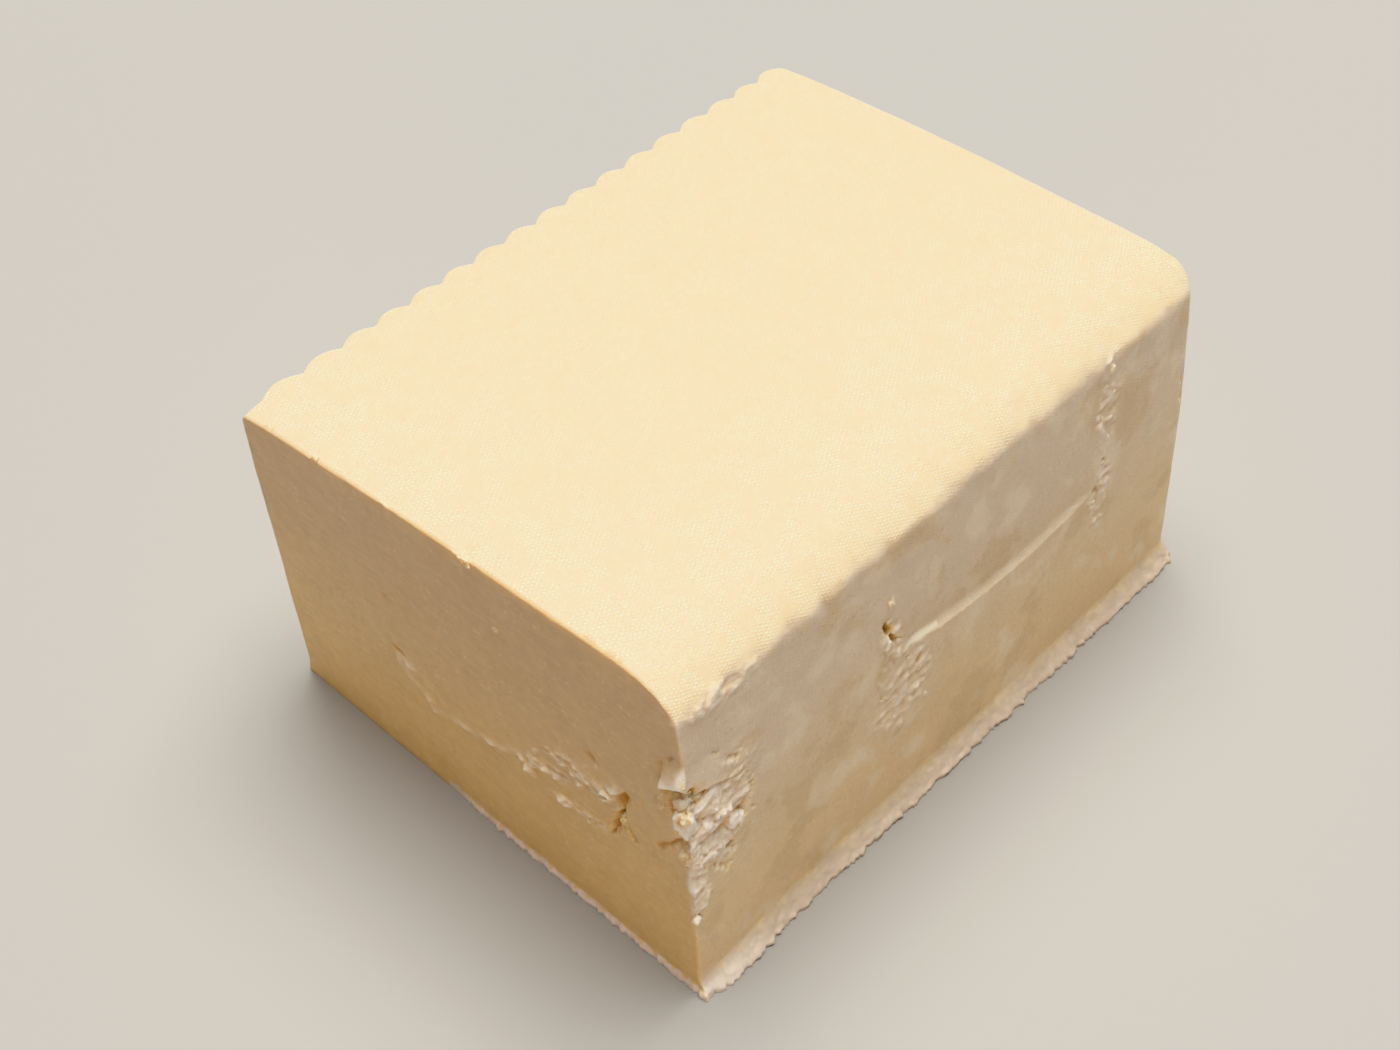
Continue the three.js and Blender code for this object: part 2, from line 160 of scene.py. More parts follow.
# Uneven faces and edges, each a sum of noises with a size in millimetres and a height
uneven = {
    "faces": ((11, 1), (4.2, 0.45), (1.3, 0.16)),
    "shoulder": ((3.4, 1), (1.5, 0.6), (0.8, 0.3)),
    "lipFace": ((1.3, 1), (0.55, 0.7), (0.3, 0.4)),
    "lipTop": ((3.1, 0.5), (1.1, 0.4)),
    "fringeTop": ((0.6, 0.8),),
    "tearEdge": ((2.6, 0.42), (0.9, 0.22)),
    "ridgePath": ((2.4, 0.9), (0.8, 0.4)),
    "ridgeBreaks": ((1.2, 1), (0.5, 0.5)),
    "crackPath": ((1.1, 0.3), (0.4, 0.16)),
    "crackDepth": ((0.9, 0.4),),
    "pitEdge": ((1.2, 1.1), (0.5, 0.6)),
}


def clamp(value, low=0.0, high=1.0):
    return min(max(value, low), high)


def lerp(a, b, share):
    return a + (b - a) * share


def ease(value, low, high):
    # 0 at the low value and 1 at the high one, with soft ends
    t = clamp((value - low) / (high - low))
    return t * t * (3 - 2 * t)


def roughness(point, kind):
    return sum(height * noise.noise(point / size) for size, height in uneven[kind])


def roundCorner(a, b, radiusA, radiusB):
    # bends the square meeting of two faces into an ellipse; a and b are the distances from them
    p = clamp(1 - a / radiusA)
    q = clamp(1 - b / radiusB)
    if p == 0 or q == 0:
        return a, b
    bentP = p * math.sqrt(1 - q * q / 2)
    bentQ = q * math.sqrt(1 - p * p / 2)
    return radiusA * (1 - bentP), radiusB * (1 - bentQ)


def fluteHump(x):
    turn = (x - block["firstFluteX"]) / block["flutePitch"]
    return abs(math.cos(math.pi * turn)) if -0.5 < turn < block["fluteCount"] - 0.5 else 0.0


def toothAt(along, row):
    # the ragged edge that the cloth or the knife left, along its row of the noise
    return noise.fractal(Vector((along / lip["toothLength"], *row)), *lip["toothNoise"])


def lipReachAt(x):
    wave = sum(height * math.sin(turn * x + start) for turn, start, height in lip["waves"])
    tooth = toothAt(x, lip["toothRow"]) - lip["toothMiddle"]
    narrow = lip["cutNarrow"] * (1 - ease(x, -halfLength, lip["cutNarrowReach"] - halfLength))
    return lip["reach"] - narrow + lip["jag"] * wave + lip["teeth"] * tooth


def lipProfile(z):
    if z <= lip["edge"]:
        return 1.0
    return clamp((lip["top"] - z) / (lip["top"] - lip["edge"])) ** lip["power"]


def fringeProfile(z):
    return clamp((lip["fringeTop"] - z) / (lip["fringeTop"] - lip["edge"]))


def ledgeRise(x):
    return ledge["curve"] * (x - ledge["middleX"]) ** 2


def alongLedge(x, stretch):
    start = ease(x, ledge["startX"], ledge["startX"] + stretch)
    return start * (1 - ease(x, ledge["endX"] - stretch, ledge["endX"]))


def ledgeShare(x):
    # 0 at the ledge's end beside the knife cut, 1 at the other
    return clamp((x - ledge["startX"]) / (ledge["endX"] - ledge["startX"]))


def ledgeRecess(x, z):
    above = z - ledge["low"] - ledgeRise(x)
    fade = math.exp(-max(above, 0) / ledge["fade"])
    depth = lerp(ledge["depth"], ledge["endDepth"], ledgeShare(x))
    step = ease(above, ledge["lowEdge"], ledge["lowEdge"] + ledge["slope"])
    return depth * alongLedge(x, ledge["endReach"] + max(above, 0)) * step * fade


def nearY(x, z):
    cutEnd = 1 - ease(x, -halfLength, block["nearFlareReach"] - halfLength)
    foot = block["nearFootY"] - block["nearFootFlare"] * cutEnd
    belly = block["nearBelly"] * math.sin(math.pi * z / topHeight)
    lipOut = lipReachAt(x) * lipProfile(z)
    rippled = ease(z, topHeight - block["rippleDepth"], topHeight - block["rippleFull"])
    ripple = block["shoulderRipple"] * rippled * (fluteHump(x) - block["rippleMiddle"])
    plain = lerp(foot, block["nearTopY"], z / topHeight)
    return plain - belly - lipOut - ripple + ledgeRecess(x, z)


def farY(x, z):
    start = ease(x, -halfLength, block["firstFluteX"] - block["flutePitch"] / 2)
    foot = block["farFootFlare"] * clamp(1 - z / lip["top"])
    valley = lerp(block["farStartY"], block["farValleyY"], start)
    return valley + block["fluteDepth"] * fluteHump(x) + foot


def topZ(x, v):
    fall = block["farDrop"] * (max(v - 1 + block["dropSpan"], 0) / block["dropSpan"]) ** 2
    cutFall = math.exp(-(x + halfLength) / block["edgeDropReach"])
    farFall = math.exp(-(1 - v) * block["width"] / block["edgeDropReach"])
    return topHeight - fall - block["edgeDrop"] * (cutFall + farFall)


def leanAt(lean, v, w):
    foot = lerp(lean["nearFoot"], lean["farFoot"], v)
    return lerp(foot, lerp(lean["nearTop"], lean["farTop"], v), w)


def cutX(v, w, z, y):
    fray = lip["fringe"] + lip["frayTeeth"] * (toothAt(y, lip["frayRow"]) - lip["frayMiddle"])
    fringe = fray * fringeProfile(z) * (1 - ease(v, *lip["fringeSpan"]))
    return -halfLength + leanAt(cutLean, v, w) - fringe


def endX(v, w):
    return halfLength + leanAt(endLean, v, w) + block["endBulge"] * (1 - (2 * v - 1) ** 2)


def placeOnBlock(along, across, up):
    # carries a point of the plain box to its place on the block
    length, width = block["length"], block["width"]
    toEnd, toNear, toFar, toTop = length - along, across, width - across, topHeight - up
    isNearHalf = across < width / 2
    if isNearHalf:
        toEnd, toNear = roundCorner(toEnd, toNear, block["endRadius"], block["endRadius"])
    else:
        toEnd, toFar = roundCorner(toEnd, toFar, block["farEndRadius"], block["farEndRadius"])
    toEnd, toTop = roundCorner(toEnd, toTop, block["farEndRadius"], block["farEndRadius"])
    if isNearHalf:
        toNear, toTop = roundCorner(toNear, toTop, block["shoulderAcross"], block["shoulderDown"])
    else:
        toFar, toTop = roundCorner(toFar, toTop, block["fluteEdgeRadius"], block["fluteEdgeRadius"])
        toNear = width - toFar

    nominalX = halfLength - toEnd
    v = toNear / width
    w = 1 - toTop / topHeight
    low, lowFull, highFull, high = ledge["gridBand"]
    inBand = alongLedge(nominalX, 2 * ledge["endReach"]) * ease(w, low, lowFull)
    followsLedge = inBand * (1 - ease(w, highFull, high))
    z = w * topZ(nominalX, v) + ledgeRise(nominalX) * followsLedge * (1 - v)

    plainNear = lerp(block["nearFootY"], block["nearTopY"], w)
    y = lerp(plainNear, block["farValleyY"], v)
    nearFade = 1 - v * width / block["shoulderAcross"]
    if nearFade > 0:
        y += nearFade * (nearY(nominalX, z) - plainNear)
    farFade = 1 - (1 - v) * width / block["fluteReach"]
    if farFade > 0:
        y += farFade * (farY(nominalX, z) - block["farValleyY"])

    x = nominalX
    cutFade = 1 - (length - toEnd) / block["leanReach"]
    if cutFade > 0:
        x += cutFade * (cutX(v, w, z, y) + halfLength)
    endFade = 1 - toEnd / block["leanReach"]
    if endFade > 0:
        x += endFade * (endX(v, w) - halfLength)
    return Vector((x, y, z))


# The grid of the skin: stretches from, to and spacing, measured from the knife cut, the cloth
# side and the underside
skinGrid = {
    "along": [(0, 12, 0.45), (12, block["length"], 0.55)],
    "across": [(0, block["shoulderAcross"], 0.45), (block["shoulderAcross"], block["width"], 0.65)],
    "up": [(0, lip["top"], 0.3), (lip["top"], topHeight, 0.5)],
    "faceLimit": 194000,  # triangles that the finished block may have
}


def gridLines(stretches):
    lines = []
    for start, end, spacing in stretches:
        count = math.ceil((end - start) / spacing)
        lines += [lerp(start, end, n / count) for n in range(count)]
    return lines + [stretches[-1][1]]


def plainBox():
    lines = [gridLines(skinGrid[name]) for name in ("along", "across", "up")]
    last = [len(values) - 1 for values in lines]
    grid = bmesh.new()
    known = {}

    def corner(spot):
        if spot not in known:
            known[spot] = grid.verts.new([values[n] for values, n in zip(lines, spot)])
        return known[spot]

    for axis in range(3):
        a, b = (axis + 1) % 3, (axis + 2) % 3
        for end in (0, last[axis]):
            for i in range(last[a]):
                for j in range(last[b]):
                    ring = []
                    for di, dj in ((0, 0), (1, 0), (1, 1), (0, 1)):
                        spot = [0, 0, 0]
                        spot[axis], spot[a], spot[b] = end, i + di, j + dj
                        ring.append(corner(tuple(spot)))
                    grid.faces.new(ring if end else ring[::-1])
    return grid


def tableOf(names, sides):
    # names the values of each row; a row may leave the last ones out
    return [dict(zip(["side", *names.split()], [side, *row])) for side in sides for row in sides[side]]


# Torn places. Each lies on a side at a place along it and a height: the cloth side is measured
# along X, the knife cut along Y. The spans are half sizes, the bed is how deep the skin came off,
# the curd is the size of its lumps, the reach is how far round a corner it goes, and the white is
# how pale it broke. Some have a number of flakes standing out of them, of one mean size. A brim
# is the straight edge of the skin above, with its height at the knife cut and its slope.
tornPlaces = tableOf("along up spans bed curd reach white flakes flake brim brimSlope", {
    "cloth": [
        (-41.6, 27.6, (6.6, 8.6), 1.1, 2.9, 2.2, 1.0, 0, 0, 35.0, -0.42),
        (-45.0, 19.5, (2.8, 7.4), 0.5, 1.9, 0.9, 0.8),
        (-37.8, 33.8, (4.2, 2.4), 0.3, 1.6, 0.8, 0.5),
        (-39.0, 45.0, (7.4, 1.6), 0.2, 1.4, 0.8, 0.1),
        (-9.8, 20.6, (7.0, 8.0), 0.32, 0.8, 1, 0.35, 16, 0.4),
        (-11.6, 31.0, (2.2, 4.6), 0.4, 0.9, 1, 0.3, 5, 0.4),
        (28.4, 38.0, (2.6, 8.6), 0.42, 1.0, 1, 0.5, 12, 0.5),
        (28.2, 24.5, (2.6, 6.4), 0.34, 0.9, 1, 0.35, 9, 0.4),
    ],
    "cut": [
        (12.4, 20.8, (2.4, 1.5), 0.2, 1.0, 1, 0.3),
    ],
})

# Single pits: half sizes along the side and up it, depth, and tilt in degrees
pits = tableOf("along up spans depth tilt", {
    "cloth": [
        (-42.6, 32.9, (2.6, 0.45), 0.9, -24),
        (-39.4, 21.1, (0.8, 0.5), 1.4, -20),
        (-6.7, 23.9, (0.4, 0.7), 0.8, 0),
        (28.6, 30.0, (0.5, 0.6), 0.9, 0),
        (27.6, 25.8, (0.7, 0.35), 0.7, 20),
    ],
    "cut": [
        (22.7, 49.0, (0.5, 0.5), 0.45, 0),
        (11.3, 49.0, (0.7, 0.4), 0.3, 0),
        (-0.5, 49.4, (1.2, 0.6), 0.5, 0),
    ],
})

# Ragged crevices, each along a path of places on a side and heights
cracks = tableOf("width depth path", {
    "cut": [
        (0.8, 1.6, [(-22.8, 26.9), (-22.1, 25.2)]),
        (0.5, 1.1, [(-22.1, 25.2), (-22.6, 23.6), (-21.9, 22.2)]),
        (0.75, 1.3, [(-21.9, 21.8), (-21.2, 19.9)]),
        (0.35, 0.9, [(-21.2, 19.9), (-20.9, 18.4)]),
        (0.35, 0.9, [(-22.9, 22.0), (-23.8, 20.9), (-24.4, 19.9)]),
        (0.4, 1.4, [(-28.6, 33.4), (-30.6, 34.3), (-31.6, 34.8)]),
        (0.45, 1.1, [(-30.4, 34.0), (-29.7, 32.1), (-29.9, 30.2)]),
        (0.2, 0.5, [(-30.0, 39.8), (-29.6, 39.3)]),
        (0.14, 0.35, [(-28.3, 38.0), (-28.2, 34.4)]),
        (0.35, 0.7, [(-28.2, 23.0), (-29.6, 24.6), (-30.3, 25.5), (-31.6, 26.4)]),
        (0.34, 0.7, [(-17.9, 29.9), (-18.6, 29.5)]),
        (0.26, 0.5, [(14.6, 31.6), (13.6, 31.3)]),
        (0.3, 0.5, [(14.3, 22.4), (13.3, 21.8)]),
    ],
    "cloth": [
        (0.45, 1.2, [(-12.9, 34.2), (-12.1, 32.6)]),
        (0.3, 0.9, [(-12.1, 32.4), (-11.3, 30.8), (-10.3, 29.4)]),
        (0.35, 0.3, [(-35.6, 29.0), (-35.7, 27.0), (-37.2, 25.0)]),
        (0.4, 0.3, [(-38.6, 34.9), (-37.4, 34.2)]),
        (0.4, 0.25, [(-41.2, 38.0), (-40.2, 37.3)]),
        (0.3, 0.5, [(45.2, 33.6), (45.4, 29.0)]),
    ],
})

# Square slabs of curd that lift off a side: half sizes, lift of the low edge and its slope
slabs = tableOf("along up spans lift slope", {"cut": [(-30.2, 37.2, (1.7, 1.9), 0.9, -0.7)]})

# Crumbly ridges that the knife dragged up, along such paths
ridges = tableOf("width height path", {
    "cut": [
        (1.2, 0.95,
         [(-7.5, 19.4), (-11.2, 21.4), (-13.0, 21.9), (-17.0, 25.0), (-20.0, 24.5), (-21.4, 26.6)]),
        (0.8, 0.75, [(-9.0, 23.6), (-12.5, 24.9), (-15.4, 25.8)]),
        (0.8, 0.8, [(-11.5, 16.7), (-14.6, 18.1), (-19.0, 17.5)]),
        (0.7, 0.4, [(16.0, 21.4), (8.3, 15.7), (1.4, 17.2), (-7.5, 19.4)]),
    ],
    "cloth": [
        (0.5, 0.4, [(-13.6, 31.6), (-12.4, 29.0), (-10.4, 27.8), (-8.6, 28.2)]),
    ],
})

# Single flakes that stand proud: half sizes along the side, up it and out of it, tilt in degrees,
# how far the middle is sunk, and how square it is where that isn't the usual
flakes = tableOf("along up sizes tilt sink square", {
    "cloth": [
        (-45.2, 33.2, (0.9, 1.3, 0.9), 10, 1.0),
        (-45.5, 30.2, (1.1, 2.1, 1.1), 14, 0.6, 3),
        (-42.4, 31.3, (2.3, 0.9, 1.0), 12, 1.0, 3),
        (-38.2, 31.0, (1.7, 0.7, 0.8), 8, 0.7),
        (-39.4, 27.6, (1.7, 2.1, 0.9), 25, 1.0),
        (-42.2, 27.0, (1.3, 1.5, 0.9), 35, 1.1),
        (-38.2, 24.2, (1.3, 1.2, 0.8), 0, 0.7),
        (-44.7, 24.2, (1.3, 1.4, 0.8), 20, 0.8),
        (-42.6, 22.0, (1.2, 1.0, 0.6), 30, 0.4),
        (-45.5, 13.8, (0.6, 0.7, 0.5), 0, 0.15),
        (-12.0, 36.6, (0.5, 1.0, 0.5), 0, 0.2, 2.4),
        (-12.6, 30.4, (0.8, 1.1, 0.6), 20, 0.3),
    ],
    "cut": [
        (-28.3, 31.0, (0.6, 1.6, 0.5), 12, 0.25, 2.4),
        (-22.8, 22.3, (0.7, 1.0, 0.7), 20, 0.55),
        (-0.9, 48.6, (1.0, 0.6, 0.6), -10, 0.25),
        (22.3, 48.7, (0.5, 0.5, 0.4), 0, 0.2, 2.4),
        (-4.6, 40.4, (0.5, 0.4, 0.3), 0, 0.1, 2.4),
    ],
})

# Places where the grid is made finer: middle, half spans and how often a face is split
fineZones = tableOf("along up spans splits", {
    "cloth": [
        (-41.8, 26.5, (7.2, 11.5), 2),
        (-44.6, 13.0, (2.6, 8.5), 2),
        (-39.5, 44.8, (7.4, 3.4), 1),
        (-37.6, 36.0, (5.0, 3.0), 1),
        (-9.4, 24.5, (6.0, 9.5), 1),
        (28.6, 32.0, (3.4, 15.0), 1),
        (45.2, 31.2, (1.2, 3.4), 1),
        (0.0, 0.6, (70.0, 3.0), 1),
    ],
    "cut": [
        (-30.5, 30.5, (3.6, 7.0), 2),
        (-21.8, 22.0, (3.2, 5.0), 2),
        (-13.5, 21.4, (7.4, 5.0), 2),
        (4.0, 18.4, (13.0, 3.4), 1),
        (-0.8, 49.0, (2.2, 1.6), 2),
        (12.4, 21.0, (3.4, 2.4), 1),
        (-14.0, 0.4, (24.0, 1.4), 1),
    ],
})


def offCentre(spot, place, turn=0.0):
    # distance from the middle of a place, in half spans
    du, dv = spot[0] - place["along"], spot[1] - place["up"]
    c, s = math.cos(turn), math.sin(turn)
    return math.hypot((c * du + s * dv) / place["spans"][0], (c * dv - s * du) / place["spans"][1])


def splitsAt(point):
    # how often a face of the plain box is split; the point is its middle
    along, across, up = point
    plainNear = lerp(block["nearFootY"], block["nearTopY"], up / topHeight)
    spots = {}
    if across < 1e-6:
        spots["cloth"] = (along - halfLength, up)
    elif along < 1e-6:
        spots["cut"] = (lerp(plainNear, block["farValleyY"], across / block["width"]), up)
    return max((zone["splits"] for zone in fineZones
                if zone["side"] in spots and offCentre(spots[zone["side"]], zone) < 1), default=0)


def refine(grid):
    for level in range(max(zone["splits"] for zone in fineZones)):
        edges = {edge for face in grid.faces if splitsAt(face.calc_center_median()) > level
                 for edge in face.edges}
        bmesh.ops.subdivide_edges(grid, edges=list(edges), cuts=1, use_grid_fill=True)


# How curd breaks: broad heaps with soft lumps and creases on them, and crumbs over all. The
# scales are in lumps, the sizes in millimetres.
curd = {
    "drawnOut": 0.7,  # along X
    "warp": 0.45,
    "warpScale": 0.9,
    "lumpScale": 1.3,
    "heapScale": 0.8,
    "heapPlace": (3.1, 7.7, 1.9),
    "crumbSize": 0.55,
    "octaves": (4, 0.5),
    "finer": 2.1,  # how much finer each octave is
    "base": 0.2,
    "lumps": 0.75,
    "heaps": 0.7,
    "crumbs": 0.12,
    "highest": 1.5,
    "rise": 0.25,  # how far it stands over the skin round it
    "softening": 2,  # passes that round its lumps
    "softenShare": 0.5,
}

# How tears run out, and how far off they still work
tear = {
    "cutReach": -39.0,  # every tear lies this near to the knife cut,
    "clothReach": -20.0,  # or to the cloth side
    "edge": (0.6, 1.0),  # half spans over which it runs out
    "brimEdge": 0.3,
    "overSpan": 1.6,  # half spans, and shares of its reach, at which it surely ended
    "overReach": 1.5,
    "slabEdge": (0.88, 1.0),
    "slabFade": (-0.8, 1.0),
    "slabDepth": 0.3,
    "markDepth": 1.5,  # depth at which ridges, cracks and pits end
    "ridgeEnds": 2.0,
    "leastRidge": 0.01,
    "crackEnds": 4.0,
    "crackBase": 0.85,
    "pitEnds": 5.0,
    "pitEdge": (0.3, 1.2),
}

# The dragged ridges: how they are drawn out across, and where they break off
ridgeCurd = {
    "drawnOut": 0.5,
    "size": 1.2,
    "lumps": 1.5,
    "sink": 0.4,
    "breaksDrawn": 0.45,
    "breaks": (-0.6, 0.2),
}


def lumpNoise(place, octaves, fading):
    return noise.turbulence(place, octaves, True, amplitude_scale=fading,
                            frequency_scale=curd["finer"])


def curdRelief(point, size):
    # height of torn curd, about 0 to 1
    place = Vector((point.x * curd["drawnOut"], point.y, point.z)) / size
    warped = place + curd["warp"] * noise.noise_vector(place * curd["warpScale"])
    lumps = lumpNoise(warped * curd["lumpScale"], *curd["octaves"])
    heaps = noise.noise(warped * curd["heapScale"] + Vector(curd["heapPlace"]))
    crumbs = noise.noise(point / curd["crumbSize"])
    height = curd["base"] + curd["lumps"] * lumps + curd["heaps"] * heaps + curd["crumbs"] * crumbs
    return clamp(height, 0, curd["highest"])


def sideSpots(point):
    # where a point lies on the cloth side and on the knife cut, and how deep under each
    w = clamp(point.z / topHeight)
    v = (point.y - block["nearFootY"]) / block["width"]
    return {
        "cloth": ((point.x, point.z), point.y - nearY(point.x, point.z)),
        "cut": ((point.y, point.z), point.x - cutX(v, w, point.z, point.y)),
    }


def isNearTear(point):
    isOnSide = point.x < tear["cutReach"] or point.y < tear["clothReach"]
    return point.z > block["flatFoot"] and isOnSide


def tornShare(point, place, spot, depth):
    reach, spans = place["reach"], place["spans"]
    end = reach * tear["overReach"]
    if depth > end or abs(spot[0] - place["along"]) > spans[0] * tear["overSpan"]:
        return 0.0
    ragged = roughness(point, "tearEdge")
    share = 1 - ease(offCentre(spot, place) + ragged, *tear["edge"])
    if "brim" in place:
        brim = place["brim"] + place["brimSlope"] * (spot[0] + halfLength)
        share *= ease(brim - spot[1] + ragged, 0.0, tear["brimEdge"])
    return share * (1 - ease(depth, reach / 2, end))


def slabShare(spot, slab):
    # full along the low edge, running out into the side above it
    a = (spot[0] - slab["along"]) / slab["spans"][0]
    b = (spot[1] - slab["up"] - slab["slope"] * (spot[0] - slab["along"])) / slab["spans"][1]
    edge = 1 - ease(max(abs(a), abs(b)), *tear["slabEdge"])
    return edge * (1 - ease(b, *tear["slabFade"]))


def offPath(spot, path):
    # distance from a path of straight stretches
    nearest = math.inf
    for (a, b), (c, d) in zip(path, path[1:]):
        share = clamp(((spot[0] - a) * (c - a) + (spot[1] - b) * (d - b)) / ((c - a) ** 2 + (d - b) ** 2))
        nearest = min(nearest, math.hypot(spot[0] - lerp(a, c, share), spot[1] - lerp(b, d, share)))
    return nearest


def bell(value):
    return math.exp(-value ** 2)


def ridgeShare(point, spot, ridge):
    ends = ridge["path"][0][0], ridge["path"][-1][0]
    if not min(ends) - tear["ridgeEnds"] < spot[0] < max(ends) + tear["ridgeEnds"]:
        return 0.0
    drawn = Vector((point.x, point.y * ridgeCurd["breaksDrawn"], point.z))
    broken = ease(roughness(drawn, "ridgeBreaks"), *ridgeCurd["breaks"])
    off = offPath(spot, ridge["path"]) + roughness(point, "ridgePath")
    return broken * bell(off / ridge["width"])


def crackShare(point, spot, crack):
    off = offPath(spot, crack["path"]) + roughness(point, "crackPath")
    return (tear["crackBase"] + roughness(point, "crackDepth")) * bell(off / crack["width"])


def nearby(table, spots, deepest):
    # those of a table that the point lies close under, each with the point's spot on its side
    for entry in table:
        spot, depth = spots[entry["side"]]
        if depth < deepest:
            yield entry, spot


def tornRelief(point):
    # how far torn places, slabs, ridges, cracks and pits move the skin
    spots = sideSpots(point)
    height = 0.0
    for place in tornPlaces:
        share = tornShare(point, place, *spots[place["side"]])
        if share > 0:
            lumps = curdRelief(point, place["curd"]) * (place["bed"] + curd["rise"])
            height += share * (lumps - place["bed"])
    for slab, spot in nearby(slabs, spots, tear["slabDepth"]):
        height += slab["lift"] * slabShare(spot, slab)
    for ridge, spot in nearby(ridges, spots, tear["markDepth"]):
        share = ridgeShare(point, spot, ridge)
        if share > tear["leastRidge"]:
            drawn = Vector((point.x, point.y * ridgeCurd["drawnOut"], point.z))
            lumps = ridgeCurd["lumps"] * curdRelief(drawn, ridgeCurd["size"])
            height += ridge["height"] * share * (lumps - ridgeCurd["sink"])
    for crack, spot in nearby(cracks, spots, tear["markDepth"]):
        if abs(spot[0] - crack["path"][0][0]) < tear["crackEnds"]:
            height -= crack["depth"] * crackShare(point, spot, crack)
    for pit, spot in nearby(pits, spots, tear["markDepth"]):
        if abs(spot[0] - pit["along"]) < tear["pitEnds"]:
            away = offCentre(spot, pit, math.radians(pit["tilt"])) + roughness(point, "pitEdge")
            height -= pit["depth"] * (1 - ease(away, *tear["pitEdge"]))
    return height


def slowRelief(point):
    onShoulder = ease(point.z, *block["dentsUp"]) * (1 - ease(point.y, *block["dentsAcross"]))
    dents = block["shoulderDents"] * onShoulder * roughness(point, "shoulder")
    return block["unevenness"] * roughness(point, "faces") + dents


def lipRelief(point):
    share = (1 - ease(point.z, lip["edge"], lip["top"])) * ease(point.z, 0.0, lip["edge"])
    nearShare = ease(block["nearFootY"] + lip["crumbleFrom"] - point.y, 0.0, 1.0)
    if share * nearShare == 0:
        return 0.0
    return lip["crumble"] * share * nearShare * roughness(point, "lipFace")


def pressBlock():
    grid = plainBox()
    refine(grid)
    for vertex in grid.verts:
        vertex.co = placeOnBlock(*vertex.co)
    grid.normal_update()
    moves = []
    for vertex in grid.verts:
        move = 0.0
        if vertex.co.z > block["flatFoot"]:
            move = slowRelief(vertex.co) + lipRelief(vertex.co)
            if isNearTear(vertex.co):
                move += tornRelief(vertex.co)
        moves.append(vertex.normal * move)
    for vertex, move in zip(grid.verts, moves):
        vertex.co += move
        vertex.co.z = max(vertex.co.z, 0)
    return grid


def addObject(name, grid, collection):
    mesh = bpy.data.meshes.new(name)
    grid.to_mesh(mesh)
    grid.free()
    mesh.shade_smooth()
    piece = bpy.data.objects.new(name, mesh)
    collection.objects.link(piece)
    return piece


# The standing flakes, and how those that are spread over a torn place differ
flakeForm = {
    "square": 2.6,  # 2 is round
    "splits": (3, 4),  # of small flakes, and of those with a half size over fineFrom
    "fineFrom": 0.9,
    "octaves": (5, 0.6),
    "base": 0.7,  # its radius, and how its lumps and heaps change it
    "lumps": 0.5,
    "heaps": 0.25,
    "lumpScale": 1.3,
    "heapScale": 0.9,
    "spread": 0.85,  # half spans
    "size": (0.6, 1.3),  # times the mean size of the place
    "wide": (0.8, 1.4),
    "tall": (0.7, 1.2),
    "thick": 0.8,
    "tilt": (-60, 60),
    "sink": 0.75,  # times the bed of the place
    "seed": 7,
}


def growFlake(flake, draw):
    # one broken lump of curd on its side
    lump = bmesh.new()
    alongSize, upSize, outSize = flake["sizes"]
    isLarge = max(alongSize, upSize) > flakeForm["fineFrom"]
    bmesh.ops.create_icosphere(lump, subdivisions=flakeForm["splits"][isLarge], radius=1)
    start = Vector([draw.uniform(0, 50) for axis in range(3)])  # somewhere in the noise
    power = flake.get("square", flakeForm["square"])
    tilt = math.radians(flake["tilt"])
    along, up, sink = flake["along"], flake["up"], flake["sink"]
    for vertex in lump.verts:
        reach = sum(abs(value) ** power for value in vertex.co) ** (-1 / power)
        lumps = lumpNoise(vertex.co * flakeForm["lumpScale"] + start, *flakeForm["octaves"])
        heaps = noise.noise(vertex.co * flakeForm["heapScale"] + start)
        reach *= flakeForm["base"] + flakeForm["lumps"] * lumps + flakeForm["heaps"] * heaps
        a = vertex.co.x * alongSize * reach
        b = vertex.co.z * upSize * reach
        out = vertex.co.y * outSize * reach
        a, b = a * math.cos(tilt) - b * math.sin(tilt), a * math.sin(tilt) + b * math.cos(tilt)
        if flake["side"] == "cloth":
            vertex.co = (along + a, nearY(along, up) + sink + out, up + b)
        else:
            w = up / topHeight
            v = (along - block["nearFootY"]) / block["width"]
            vertex.co = (cutX(v, w, up, along) + sink - out, along + a, up + b)
    return lump


def spreadFlakes(place, draw):
    # flakes spread evenly over a torn place, by turns of the golden angle
    found = []
    goldenAngle = math.pi * (3 - math.sqrt(5))
    count = place.get("flakes", 0)
    for n in range(count):
        far = flakeForm["spread"] * math.sqrt((n + 0.5) / count)
        turn = 1 + n * goldenAngle
        size = place["flake"] * draw.uniform(*flakeForm["size"])
        wide, tall = size * draw.uniform(*flakeForm["wide"]), size * draw.uniform(*flakeForm["tall"])
        found.append({
            "side": place["side"],
            "along": place["along"] + place["spans"][0] * far * math.cos(turn),
            "up": place["up"] + place["spans"][1] * far * math.sin(turn),
            "sizes": (wide, tall, size * flakeForm["thick"]),
            "tilt": draw.uniform(*flakeForm["tilt"]),
            "sink": place["bed"] * flakeForm["sink"],
        })
    return found


def applyModifiers(piece):
    evaluated = piece.evaluated_get(bpy.context.evaluated_depsgraph_get())
    finished = bpy.data.meshes.new_from_object(evaluated)
    piece.modifiers.clear()
    piece.data = finished


def joinFlakes(piece):
    draw = random.Random(flakeForm["seed"])
    wanted = list(flakes)
    for place in tornPlaces:
        wanted += spreadFlakes(place, draw)
    collection = bpy.data.collections.new("curdFlakes")
    for flake in wanted:
        addObject("curdFlake", growFlake(flake, draw), collection)
    bpy.context.scene.collection.children.link(collection)
    join = piece.modifiers.new("join", "BOOLEAN")
    join.operand_type = "COLLECTION"
    join.collection = collection
    join.operation = "UNION"
    join.solver = "MANIFOLD"
    applyModifiers(piece)
    for lump in list(collection.objects):
        bpy.data.objects.remove(lump)
    bpy.data.collections.remove(collection)


